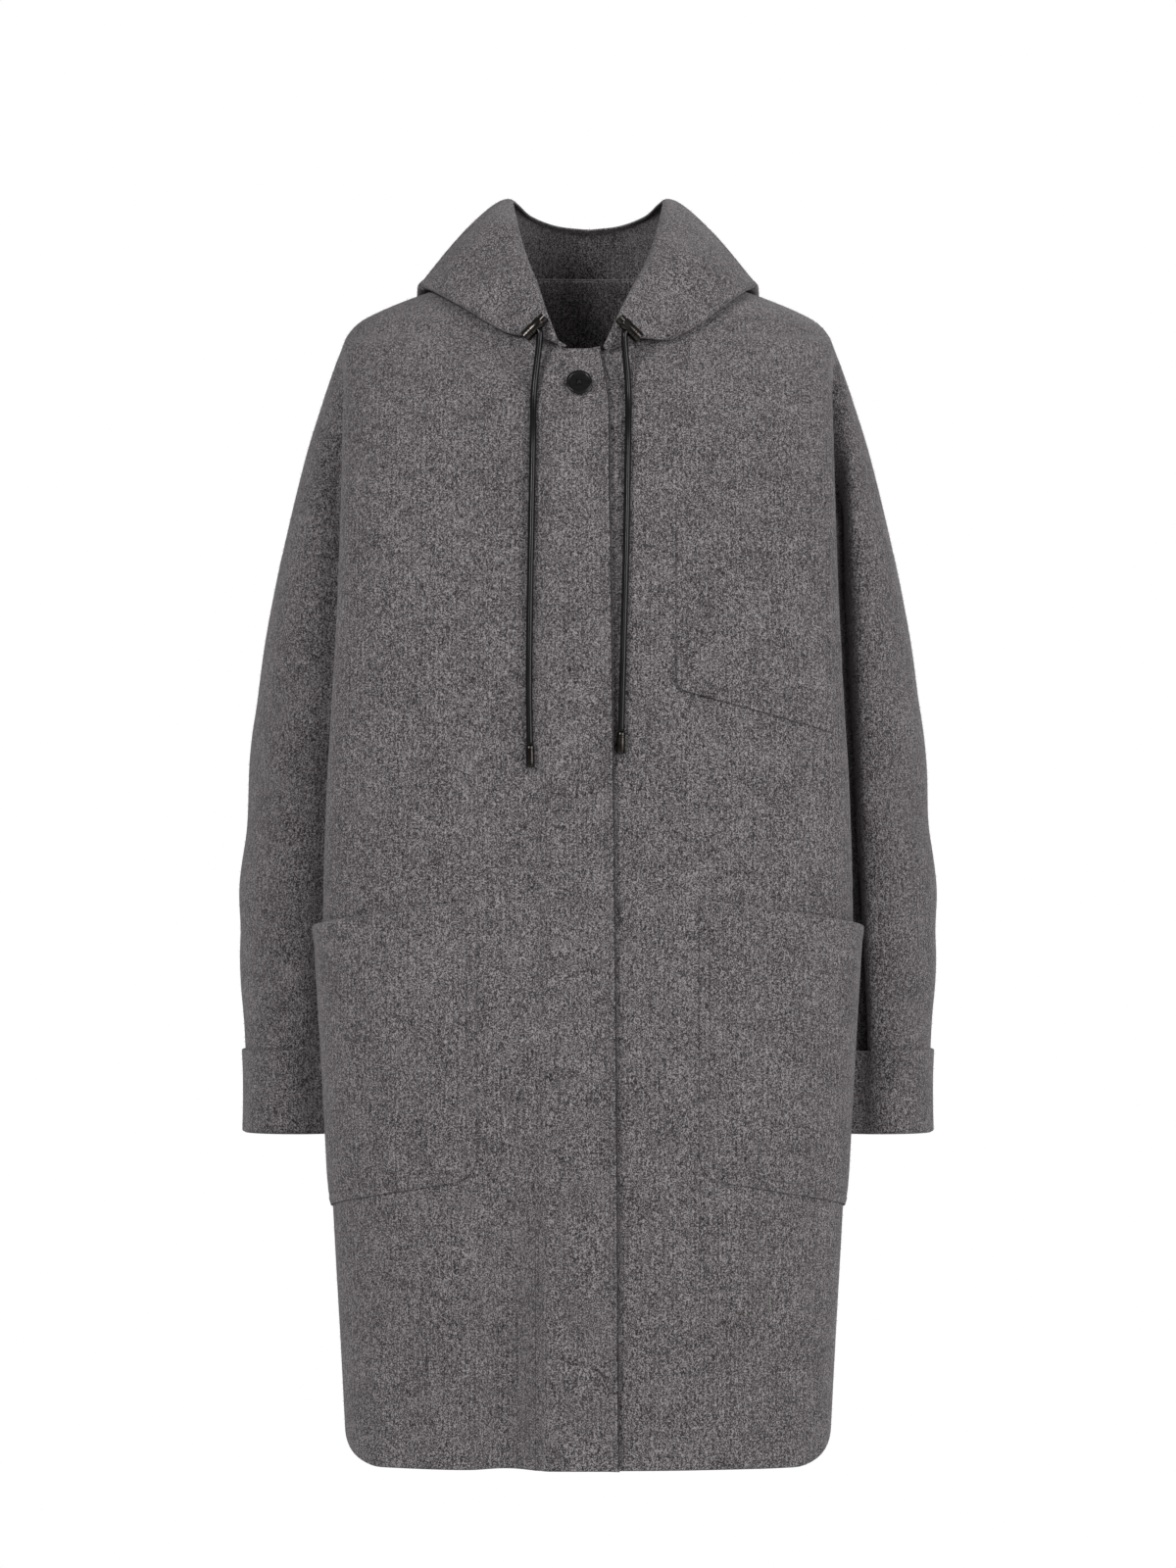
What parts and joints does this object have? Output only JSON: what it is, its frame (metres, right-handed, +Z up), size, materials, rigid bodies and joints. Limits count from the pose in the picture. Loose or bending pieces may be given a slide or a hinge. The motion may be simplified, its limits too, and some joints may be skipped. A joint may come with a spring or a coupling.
{
  "type": "hooded wool parka",
  "caption": "Knee-length oversized hooded wool coat with a concealed front closure, patch pockets, turned-back cuffs and leather drawcords, hollow as worn.",
  "frame": {"origin": "on the centre line at the height of the shoulder tops, where the wearer's shoulders hold the coat", "axes": "+Z up along the coat's length, front faces -Y, +X is the wearer's left"},
  "size_m": [0.5692, 0.3303, 1.0247],
  "materials": {
    "wool": "matte brushed wool, grey heather with a fine upright rib",
    "leather": "smooth black round cord",
    "gunmetal": "dark satin plating",
    "horn": "black horn look, half gloss"
  },
  "bodies": {
    "root": {"front_left": "wool", "front_right": "wool", "placket": "wool", "back": "wool", "sleeve_left": "wool", "sleeve_right": "wool", "cuff_left": "wool", "cuff_right": "wool", "hood_left": "wool", "hood_right": "wool", "pocket_left": "wool", "pocket_right": "wool", "chest_pocket": "wool", "cord_left": "leather", "cord_right": "leather", "cord_tip_left": "gunmetal", "cord_tip_right": "gunmetal", "cord_lock_left": "gunmetal", "cord_lock_right": "gunmetal", "button": "horn"}
  },
  "joints": []
}
